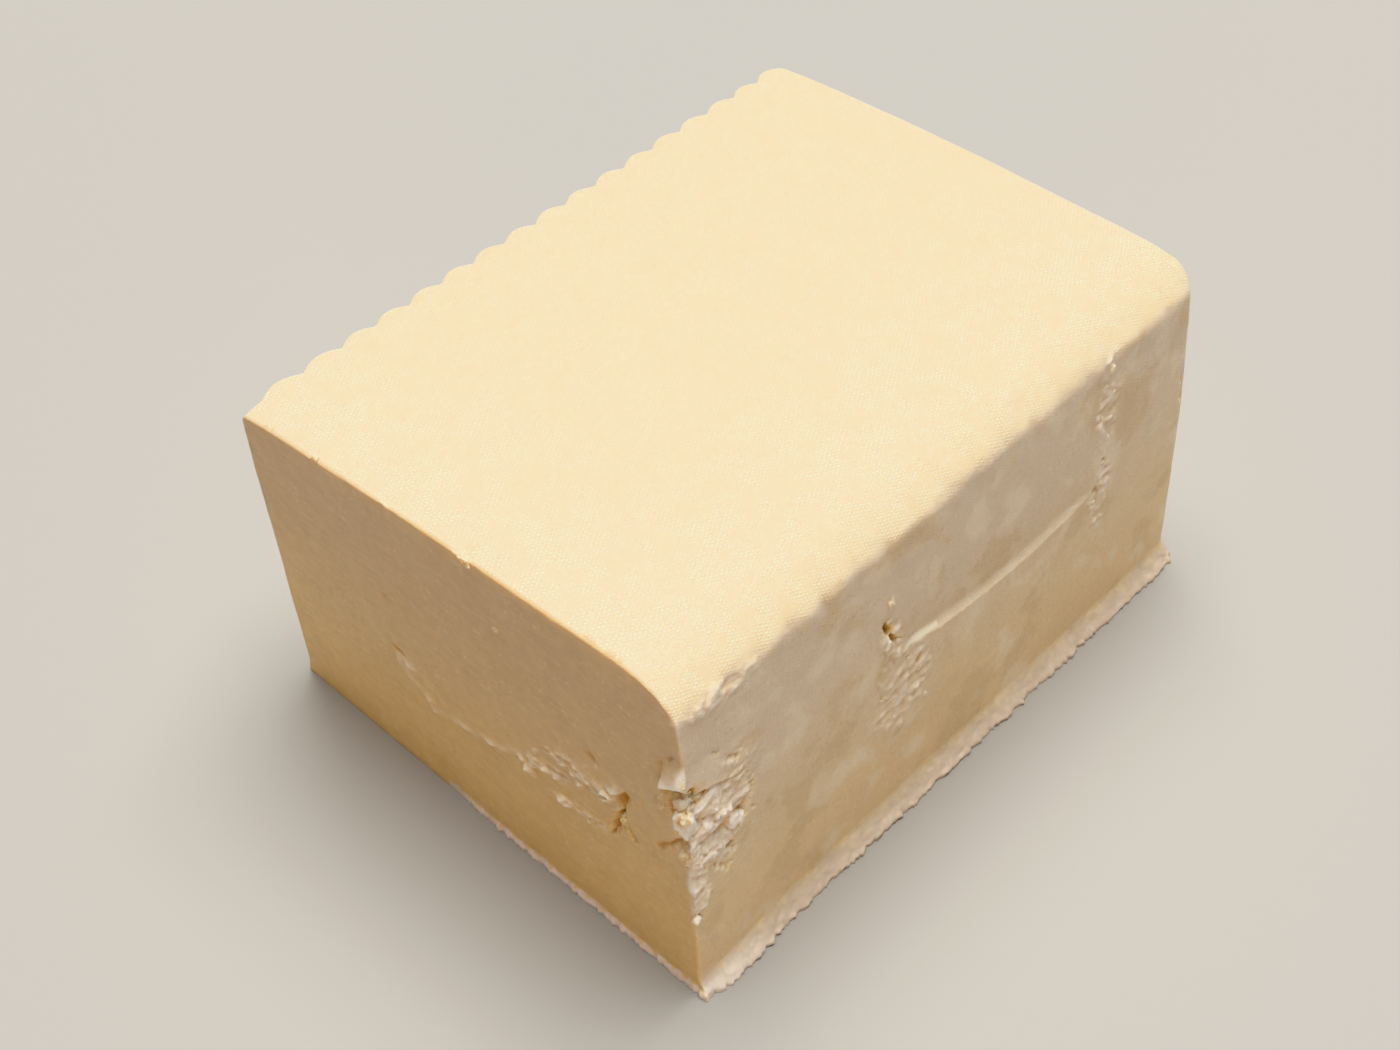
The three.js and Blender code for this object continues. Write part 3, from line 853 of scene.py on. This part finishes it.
def trimFaces(piece, limit):
    # gathers the triangles where the shape needs them
    count = sum(len(face.vertices) - 2 for face in piece.data.polygons)
    print("triangles", count)
    if count > limit:
        thin = piece.modifiers.new("thin", "DECIMATE")
        thin.ratio = limit / count
        applyModifiers(piece)


tofu = addObject("tofuBlock", pressBlock(), bpy.context.scene.collection)
print("pressed block", len(tofu.data.vertices), "points")
joinFlakes(tofu)
print("with its flakes", len(tofu.data.vertices), "points")
trimFaces(tofu, skinGrid["faceLimit"])

# Where each mask of the skin lies. Two values are those at which it is 0 and full.
masks = {
    "knifeFacing": (0.5, 0.75),  # how squarely a point faces -X
    "knifeReach": -43.0,
    "sideFacing": (0.75, 0.95),  # and -Y
    "levelFacing": (0.5, 0.25),  # how far it faces up or down
    "uprightShare": 0.5,  # how much of the cloth side's colour, partly painted shade, and of its marks the other sides have
    "mouldedFacing": 0.7,
    "clothReach": -28.0,
    "clothTop": 40.0,
    "foldLine": (-0.03, 0.26),  # painted highlight on the fold's ledge: height over the ledge's line, and width
    "foldShare": (0.8, 0.7),  # at both ends of the ledge
    "unshadedLine": (0.8, 1.3),  # above the fold, and at the foot, no painted hollow shade is kept
    "unshadedFoot": (2.5, 4.5),
    "lipReach": -30.0,
    "lipTop": (3.3, 1.1),
    "fringeTop": (1.4, 0.6),
    "fringeReach": (2.0, 8.0),  # up and across
    "footGlow": (1.92, 0.72),
    "tornGlow": 0.6,
    "rimGlowHeight": 0.8,
    "shoulderPrint": (-1.4, -27.4),
    "cutPrint": (-24.0, -46.0),
    "printBase": 0.35,
    "printOnSides": 0.25,
    "endPrint": (0.7, 0.2),  # facing at which the print breaks at the moulded end, and width
    # painted shade in hollows and creases
    "hollowPasses": 24,
    "hollowDepth": (0.06, 0.36),
    "hollowTear": 0.2,
    "hollowWhite": 0.65,
    # painted highlight on curd that stands up
    "crestHeight": (0.03, 0.23),
    "crestBase": 0.4,
    "foldHighlightShare": 0.85,
    # painted highlight on the lip near the knife cut
    "lipTip": (-34.0, -42.0),
    "lipTipShare": 0.5,
    # painted shade deep in tears and crevices
    "sunkTop": 42.0,
    "sunkTear": (0.35, 1.3),  # depths over which it darkens
    "sunkCrack": (0.15, 0.6),
    "crackDepth": 3.0,
    "markShare": 1.6,  # how strongly cracks and ridges show
    "markWhite": 0.5,  # how pale ridges and slabs are
}


def fitToFrame(piece):
    # the moulded end and the flutes' feet have no crumbs, so they place the block in its frame
    points = readVectors(piece.data.vertices, "co")
    high = points.max(axis=0)
    shift = np.array((cadBox[1].x / mm - high[0], cadBox[1].y / mm - high[1], 0))
    inside = np.clip((points + shift) * mm, list(cadBox[0]), list(cadBox[1]))
    piece.data.vertices.foreach_set("co", inside.ravel())
    piece.data.update()
    return shift


def readVectors(values, name):
    found = np.zeros(len(values) * 3)
    values.foreach_get(name, found)
    return found.reshape(-1, 3)


def readNeighbours(mesh):
    # the edges, and how many meet at each point
    edges = np.zeros(len(mesh.edges) * 2, np.int32)
    mesh.edges.foreach_get("vertices", edges)
    count = np.bincount(edges, minlength=len(mesh.vertices))
    return edges.reshape(-1, 2), count.reshape(-1, 1)


def neighbourMean(values, edges, count):
    total = np.zeros_like(values)
    np.add.at(total, edges[:, 0], values[edges[:, 1]])
    np.add.at(total, edges[:, 1], values[edges[:, 0]])
    return total / count


def measureHollows(mesh, points, normals):
    # how deep each point lies under the smoothed surface
    edges, count = readNeighbours(mesh)
    smooth = points.copy()
    for _ in range(masks["hollowPasses"]):
        smooth = neighbourMean(smooth, edges, count)
    depth = ((smooth - points) * normals).sum(axis=1, keepdims=True)
    return neighbourMean(depth, edges, count).ravel()


def softenTears(mesh):
    # rounds the curd of the torn places, so that its lumps run into each other
    points = readVectors(mesh.vertices, "co")
    edges, count = readNeighbours(mesh)
    share = np.array([[math.prod(tornShareAt(Vector(point)))] for point in points])
    for _ in range(curd["softening"]):
        points += curd["softenShare"] * share * (neighbourMean(points, edges, count) - points)
    mesh.vertices.foreach_set("co", points.ravel())
    mesh.update()


def sunkShareAt(point):
    # how deep in a tear or a crevice it lies, for the painted shade there
    if not isNearTear(point) or point.z > masks["sunkTop"]:
        return 0.0
    spots = sideSpots(point)
    sunk = 0.0
    for place in tornPlaces:
        spot, under = spots[place["side"]]
        share = tornShare(point, place, spot, under)
        sunk = max(sunk, share * ease(under, *masks["sunkTear"]))
    for crack in cracks:
        spot, under = spots[crack["side"]]
        if under < masks["crackDepth"]:
            share = clamp(masks["markShare"] * crackShare(point, spot, crack))
            sunk = max(sunk, share * ease(under, *masks["sunkCrack"]))
    return sunk


def tornShareAt(point):
    # how torn it is, and how pale it broke there
    if not isNearTear(point):
        return 0.0, 0.0
    spots = sideSpots(point)
    found = [(tornShare(point, place, *spots[place["side"]]), place["white"]) for place in tornPlaces]
    for slab, spot in nearby(slabs, spots, tear["slabDepth"]):
        found.append((slabShare(spot, slab), masks["markWhite"]))
    for ridge, spot in nearby(ridges, spots, tear["markDepth"]):
        share = ridgeShare(point, spot, ridge) * ridge["height"] * masks["markShare"]
        found.append((min(share, 1.0), masks["markWhite"]))
    return max(found)


def ramp(values, low, high):
    return np.clip((values - low) / (high - low), 0, 1)


def paintLedge(x, z):
    # how much painted highlight the fold's ledge gets, and how much painted hollow shade is kept by it
    # and at the foot
    along = alongLedge(x, ledge["endReach"])
    above = z - ledge["low"] - ledgeRise(x)
    foldLine, foldWidth = masks["foldLine"]
    unshadedLine, dryWidth = masks["unshadedLine"]
    foldHighlight = bell((above - foldLine) / foldWidth) * along * lerp(*masks["foldShare"], ledgeShare(x))
    shadeAllowed = 1 - bell((above - unshadedLine) / dryWidth) * along
    return foldHighlight, shadeAllowed * ease(z, *masks["unshadedFoot"])


def paintMasks(mesh):
    points, normals = readVectors(mesh.vertices, "co"), readVectors(mesh.vertex_normals, "vector")
    allX, allY, allZ = points.T
    facingX, facingY, facingZ = normals.T
    torn, white, sunk, pale, foldHighlight = (np.zeros(len(points)) for _ in range(5))
    shadeAllowed = np.ones(len(points))
    knife = ramp(-facingX, *masks["knifeFacing"]) * (allX < masks["knifeReach"])
    fringeUp, fringeAcross = masks["fringeReach"]
    for n, (x, y, z) in enumerate(points):
        point = Vector((x, y, z))
        torn[n], white[n] = tornShareAt(point)
        sunk[n] = sunkShareAt(point)
        if y < masks["clothReach"] and z < masks["clothTop"]:
            foldHighlight[n], shadeAllowed[n] = paintLedge(x, z)
            pale[n] = ease(z + roughness(point, "lipTop"), *masks["lipTop"]) * (1 - knife[n])
        if knife[n] > 0 and z < fringeUp and y < fringeAcross:
            pale[n] = ease(z + roughness(point, "fringeTop"), *masks["fringeTop"])

    side = ramp(-facingY, *masks["sideFacing"])
    isNotSide = facingY > -masks["sideFacing"][0]
    upright = ramp(abs(facingZ), *masks["levelFacing"]) * isNotSide * (1 - knife)
    printed = np.maximum(ramp(allY, *masks["shoulderPrint"]), ramp(allX, *masks["cutPrint"]))
    printed = lerp(masks["printBase"], 1, printed)
    printed *= 1 - (1 - masks["printOnSides"]) * np.maximum(side, upright)
    printed *= np.where(allY < masks["lipReach"], np.clip(allZ - lip["top"], 0, 1), 1)
    endFacing, endWidth = masks["endPrint"]
    printed *= 1 - np.exp(-((facingX - endFacing) / endWidth) ** 2)
    underTop = np.clip(topHeight - block["edgeDrop"] - allZ, 0, None)

    # painted shade: browner the deeper a point lies in a hollow or crease
    depth = measureHollows(mesh, points, normals)
    low, full = masks["hollowDepth"]
    hollow = (depth - low) / (full - low) * (1 - masks["hollowWhite"] * torn * white)
    hollow *= (np.maximum(side, knife) + torn > masks["hollowTear"]) * shadeAllowed
    # painted highlight on the curd that stands over the smoothed surface
    low, full = masks["crestHeight"]
    crestHighlight = (-depth - low) / (full - low) * torn * lerp(masks["crestBase"], 1, white)
    # painted highlight on the lip near the knife cut, where it faces up
    lipTip = masks["lipTipShare"] * pale * ramp(allX, *masks["lipTip"]) * (1 - knife)

    painted = {
        "white": torn * white,
        "sunk": sunk,
        "pale": pale,
        "knife": knife,
        "foot": np.maximum(ramp(allZ, *masks["footGlow"]), masks["tornGlow"] * torn),
        "height": allZ / topHeight,
        "rim": np.exp(-underTop / masks["rimGlowHeight"]) * knife,
        "cloth": np.maximum(side, masks["uprightShare"] * upright),
        "print": (1 - knife) * (1 - torn) * (1 - foldHighlight) * printed,
        "hollow": hollow,
        "paintedHighlight": np.maximum.reduce((crestHighlight, masks["foldHighlightShare"] * foldHighlight, lipTip)),
    }
    for name, values in painted.items():
        mask = mesh.attributes.new(name, "FLOAT", "POINT")
        mask.data.foreach_set("value", np.clip(values, 0, 1))

    # the cloth's threads run down the upright sides from the top
    moulded = facingX > masks["mouldedFacing"]
    threads = np.zeros((len(points), 3))
    threads[:, 0] = np.where(moulded, allX - allZ, allX)
    threads[:, 1] = np.where(moulded, allY, allY + allZ)
    mesh.attributes.new("threads", "FLOAT_VECTOR", "POINT").data.foreach_set("vector", threads.ravel())


softenTears(tofu.data)
paintMasks(tofu.data)
shift = fitToFrame(tofu)
print("masks painted, moved by", shift)

# Colours and relief of the skin. Patches have a size, a detail and the values at which they fade,
# streaks a width, a length and a turn about X. All sizes are in millimetres.
curdLook = {
    "skin": (0.87, 0.735, 0.49),
    # the cut: partly its own colour, partly painted warm bounce light and shade
    "cut": (0.775, 0.553, 0.28),
    "cutShadedTop": (0.655, 0.49, 0.315),
    "side": (0.81, 0.63, 0.385),  # cloth side at its foot: partly its own colour, partly painted warm bounce light and shade
    "sideSkyLitTop": (0.75, 0.63, 0.50),
    "topSpan": (0.1, 0.9),  # shares of the height over which both change, as painted light: greyer sky light at the top of the cloth side, painted shade at the top of the cut
    "threadGlint": (1.0, 0.94, 0.79),  # painted glints where the cloth's threads crossed
    "pale": (0.61, 0.51, 0.41),  # the lip
    "fringe": (0.80, 0.69, 0.64),  # frayed foot of the cut
    "curd": (0.92, 0.80, 0.67),  # torn curd
    "curdShare": 0.85,
    "crestHighlight": (0.97, 0.91, 0.85),  # painted highlight where it stands up, on the fold's ledge and on the lip's tip
    "deep": (0.79, 0.50, 0.22),  # painted shade on the floor of the tears and crevices
    "deepShare": 0.7,
    # painted shade in hollows and creases; the dark flecks take this colour too
    "hollow": (0.64, 0.40, 0.16),
    "rim": (0.82, 0.58, 0.29),  # painted glow of light bleeding through the cut's upper edge
    "damp": (0.69, 0.53, 0.32),  # damp patches of the cloth side
    "dampShare": 0.6,
    "dampPatches": (9.0, 5.0, 0.53, 0.61),
    "bloom": (0.88, 0.77, 0.61),  # and its drier ones
    "bloomShare": 0.6,
    "bloomPatches": (6.5, 5.0, 0.52, 0.66),
    "fleckShare": 0.36,  # tiny light and dark spots of both sides
    "fleckPatches": (5.0, 2.0, 0.34, 0.62),
    "lightFlecks": (0.6, 4.0, 0.58, 0.72),
    "darkFlecks": (0.6, 4.0, 0.42, 0.3),
    "mottle": (6.0, 2.0, 0.1),  # size, detail and strength of the slow shading
    "cutMottle": (1.6, 4.0, 0.2),  # and of the cut's own
    "threadStreaks": (0.45, 5.0, 90.0),  # upright threads that show on the cloth side
    "dragStreaks": (0.45, 4.0, -40.0),  # and the knife's marks
    "streakShare": 0.16,
    "roughness": 0.48,
    "roughPatches": (1.5, 0.2),
    "depthOfGlow": 1.0,  # how far light wanders under the skin
    "glow": (1.0, 0.8, 0.62),
    "glowShare": 0.8,
    "threadPitch": (0.95, 0.55, 1.0),  # spacing of the cloth's print, along and across
    "threadWander": (2.5, 0.5),
    "threadPatches": (2.4, 4.0, 0.36, 0.58),
    "threadDepth": 0.11,
    "grain": (0.5, 3.0),  # size and detail
    "grainDepth": 0.08,
    "crumbs": (0.8, 5.0),  # broken surface of the torn places
    "crumbDepth": 0.3,
    "dragLines": (0.5, 9.0, -40.0),  # fine lines that the knife dragged
    "dragDepth": 0.05,
}


class NodeTree:
    # short names for making and joining nodes
    def __init__(self, material):
        material.use_nodes = True
        self.material = material
        self.nodes = material.node_tree.nodes
        self.links = material.node_tree.links
        self.shader = self.nodes["Principled BSDF"]
        self.place = self.nodes.new("ShaderNodeTexCoord").outputs["Object"]

    def put(self, socket, value):
        if hasattr(value, "is_output"):
            self.links.new(value, socket)
        elif isinstance(value, tuple) and len(value) == 3 and socket.type == "RGBA":
            socket.default_value = (*value, 1)
        else:
            socket.default_value = value

    def node(self, kind, inputs, **settings):
        made = self.nodes.new("ShaderNode" + kind)
        for name, value in settings.items():
            setattr(made, name, value)
        for name, value in inputs.items():
            self.put(made.inputs[name], value)
        return made.outputs

    def mask(self, name, output="Fac"):
        return self.node("Attribute", {}, attribute_name=name)[output]

    def math(self, operation, *values):
        return self.node("Math", dict(enumerate(values)), operation=operation)[0]

    def times(self, a, b):
        return self.math("MULTIPLY", a, b)

    def without(self, value):
        return self.math("SUBTRACT", 1.0, value)

    def vectorMath(self, operation, inputs):
        return self.node("VectorMath", inputs, operation=operation)[0]

    def blend(self, share, a, b):
        return self.node("Mix", {"Factor": share, "A": a, "B": b}, data_type="RGBA")["Result"]

    def step(self, value, low, high):
        # 0 at the low value, 1 at the high one
        inputs = {"Value": value, "From Min": low, "From Max": high}
        return self.node("MapRange", inputs, interpolation_type="SMOOTHSTEP")["Result"]

    def relief(self, height, depth, normal=None):
        inputs = {"Height": height, "Distance": depth * mm}
        if normal is not None:
            inputs["Normal"] = normal
        return self.node("Bump", inputs)["Normal"]

    def noise(self, vector, scale, detail=2.0):
        return self.node("TexNoise", {"Vector": vector, "Scale": scale, "Detail": detail})

    def clouds(self, size, detail=2.0):
        # noise whose features are about that many millimetres wide, from 0 to 1
        return self.noise(self.place, 1 / (size * mm), detail)["Fac"]

    def patches(self, size, detail, low, high):
        return self.step(self.clouds(size, detail), low, high)

    def wander(self, vector, size, reach):
        # shifts a vector by noise of that size
        bend = self.noise(self.place, 1 / (size * mm))["Color"]
        return self.vectorMath("MULTIPLY_ADD", {0: bend, 1: (reach, reach, reach), 2: vector})

    def streaks(self, width, length, turn):
        # noise drawn out along Y, or along a slant that is turned about X
        scale = (1 / (width * mm), 1 / (length * mm), 1 / (width * mm))
        inputs = {"Vector": self.place, "Rotation": (math.radians(turn), 0, 0), "Scale": scale}
        return self.noise(self.node("Mapping", inputs)["Vector"], 1.0)["Fac"]


def clothPrint(tree):
    # humps where the cloth's threads crossed, in patches
    waves = tuple(pitch / (2 * math.pi) for pitch in curdLook["threadPitch"])
    threads = tree.wander(tree.mask("threads", "Vector"), *curdLook["threadWander"])
    axes = tree.node("SeparateXYZ", {0: tree.vectorMath("DIVIDE", {0: threads, 1: waves})})
    humps = tree.times(tree.math("SINE", axes["X"]), tree.math("SINE", axes["Y"]))
    patchy = tree.times(tree.mask("print"), tree.patches(*curdLook["threadPatches"]))
    return tree.times(tree.math("MAXIMUM", humps, 0.0), patchy)


def curdColour(tree, weave):
    # each layer covers its share of those before it
    look = curdLook
    cloth, knife = tree.mask("cloth"), tree.mask("knife")
    upper = tree.step(tree.mask("height"), *look["topSpan"])
    damp = tree.times(cloth, tree.patches(*look["dampPatches"]))
    bloom = tree.times(cloth, tree.patches(*look["bloomPatches"]))
    walls = tree.times(tree.math("MAXIMUM", cloth, knife), tree.patches(*look["fleckPatches"]))
    light = tree.times(walls, tree.patches(*look["lightFlecks"]))
    dark = tree.times(walls, tree.patches(*look["darkFlecks"]))
    pale = tree.mask("pale")
    layers = (
        # painted light: the upright sides and the cut are warmer and darker than the top, and change with
        # height
        (cloth, tree.blend(upper, look["side"], look["sideSkyLitTop"])),
        (knife, tree.blend(upper, look["cut"], look["cutShadedTop"])),
        (tree.times(damp, look["dampShare"]), look["damp"]),
        (tree.times(bloom, look["bloomShare"]), look["bloom"]),
        (tree.times(light, look["fleckShare"]), look["curd"]),
        (tree.times(dark, look["fleckShare"]), look["hollow"]),
        # painted glow under the cut's upper edge
        (tree.mask("rim"), look["rim"]),
        (pale, tree.blend(knife, look["pale"], look["fringe"])),
        (tree.times(tree.mask("white"), look["curdShare"]), look["curd"]),
        # painted highlight on standing curd, the fold's ledge and the lip's tip
        (tree.mask("paintedHighlight"), look["crestHighlight"]),
        # painted glints on the thread humps
        (weave, look["threadGlint"]),
        # painted shade deep in the tears and crevices
        (tree.times(tree.mask("sunk"), look["deepShare"]), look["deep"]),
        # painted shade in hollows and creases, kept off the lip
        (tree.times(tree.mask("hollow"), tree.without(pale)), look["hollow"]),
    )
    colour = look["skin"]
    for share, paint in layers:
        colour = tree.blend(share, colour, paint)
    return colour


def curdShade(tree):
    # slow and fine shading that the colour is multiplied by, about 1
    cloth, knife = tree.mask("cloth"), tree.mask("knife")
    *size, strength = curdLook["mottle"]
    shade = tree.math("MULTIPLY_ADD", tree.clouds(*size), strength, 1 - strength / 2)
    *size, strength = curdLook["cutMottle"]
    marks = (
        (knife, tree.clouds(*size), strength),
        (cloth, tree.streaks(*curdLook["threadStreaks"]), curdLook["streakShare"]),
        (knife, tree.streaks(*curdLook["dragStreaks"]), curdLook["streakShare"]),
    )
    for mask, pattern, strength in marks:
        swing = tree.times(mask, tree.math("SUBTRACT", pattern, 0.5))
        shade = tree.math("MULTIPLY_ADD", swing, strength, shade)
    return shade


def tofuMaterial():
    tree = NodeTree(bpy.data.materials.new("firmTofu"))
    shader = tree.shader.inputs
    glow = tree.times(tree.without(tree.mask("foot")), curdLook["glowShare"])
    tree.put(shader["Subsurface Weight"], glow)
    shader["Subsurface Radius"].default_value = curdLook["glow"]
    shader["Subsurface Scale"].default_value = curdLook["depthOfGlow"] * mm

    weave = clothPrint(tree)
    colour = tree.vectorMath("SCALE", {0: curdColour(tree, weave), "Scale": curdShade(tree)})
    tree.put(shader["Base Color"], colour)
    size, strength = curdLook["roughPatches"]
    lowest = curdLook["roughness"] - strength / 2
    tree.put(shader["Roughness"], tree.math("MULTIPLY_ADD", tree.clouds(size), strength, lowest))

    normal = tree.relief(weave, curdLook["threadDepth"])
    drag = tree.times(tree.mask("knife"), tree.streaks(*curdLook["dragLines"]))
    normal = tree.relief(drag, curdLook["dragDepth"], normal)
    normal = tree.relief(tree.clouds(*curdLook["grain"]), curdLook["grainDepth"], normal)
    crumbs = tree.times(tree.clouds(*curdLook["crumbs"]), tree.mask("white"))
    tree.put(shader["Normal"], tree.relief(crumbs, curdLook["crumbDepth"], normal))
    return tree.material


tofu.data.materials.clear()
tofu.data.materials.append(tofuMaterial())
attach(tofu, "root")
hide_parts("tofu_block")
print("skin painted")

studio = {
    "floorColour": (0.385, 0.375, 0.362),
    "floorSize": 30.0,  # metres
    "floorRoughness": 0.8,
    "lights": {  # direction, distance and size in metres, power and colour
        "key": ((0.16, 0.10, 1.0), 2.5, 1.9, 112.0, (1.0, 0.97, 0.90)),
        "lowFill": ((-0.78, -0.60, 0.12), 2.25, 1.0, 11.9, (1.0, 0.68, 0.38)),
    },
    "skyColour": (0.97, 0.95, 0.96),
    "skyStrength": 0.22,
}


def setStudio():
    bpy.ops.mesh.primitive_plane_add(size=studio["floorSize"])
    floor = bpy.context.object
    floor.name = "floor"
    paint = bpy.data.materials.new("floorPaint")
    paint.use_nodes = True
    shader = paint.node_tree.nodes["Principled BSDF"].inputs
    shader["Base Color"].default_value = (*studio["floorColour"], 1)
    shader["Roughness"].default_value = studio["floorRoughness"]
    floor.data.materials.append(paint)

    for name, (direction, distance, size, power, colour) in studio["lights"].items():
        lamp = bpy.data.lights.new(name, "AREA")
        lamp.size, lamp.energy, lamp.color = size, power, colour
        lampObject = bpy.data.objects.new(name, lamp)
        lampObject.visible_camera = False
        lampObject.location = Vector(direction).normalized() * distance
        lampObject.rotation_euler = Vector(direction).to_track_quat("Z", "Y").to_euler()
        bpy.context.scene.collection.objects.link(lampObject)

    world = bpy.data.worlds.new("studio")
    world.use_nodes = True
    background = world.node_tree.nodes["Background"]
    background.inputs["Color"].default_value = (*studio["skyColour"], 1)
    background.inputs["Strength"].default_value = studio["skyStrength"]
    bpy.context.scene.world = world
    bpy.context.scene.view_settings.view_transform = "Khronos PBR Neutral"


camera = {
    "place": (-138.366, -121.064, 212.942),  # from the middle of the block's foot
    "turn": (43.2317, 0.0423, -46.8808),  # degrees
    "lens": 54.432,
    "sensor": 36,
}


def setCamera(shift):
    view = bpy.data.cameras.new("camera")
    view.lens = camera["lens"]
    view.sensor_width = camera["sensor"]
    viewObject = bpy.data.objects.new("camera", view)
    viewObject.location = (Vector(camera["place"]) + Vector(shift)) * mm
    viewObject.rotation_euler = [math.radians(turn) for turn in camera["turn"]]
    bpy.context.scene.collection.objects.link(viewObject)
    bpy.context.scene.camera = viewObject


setStudio()
setCamera(shift)
print("studio and camera")
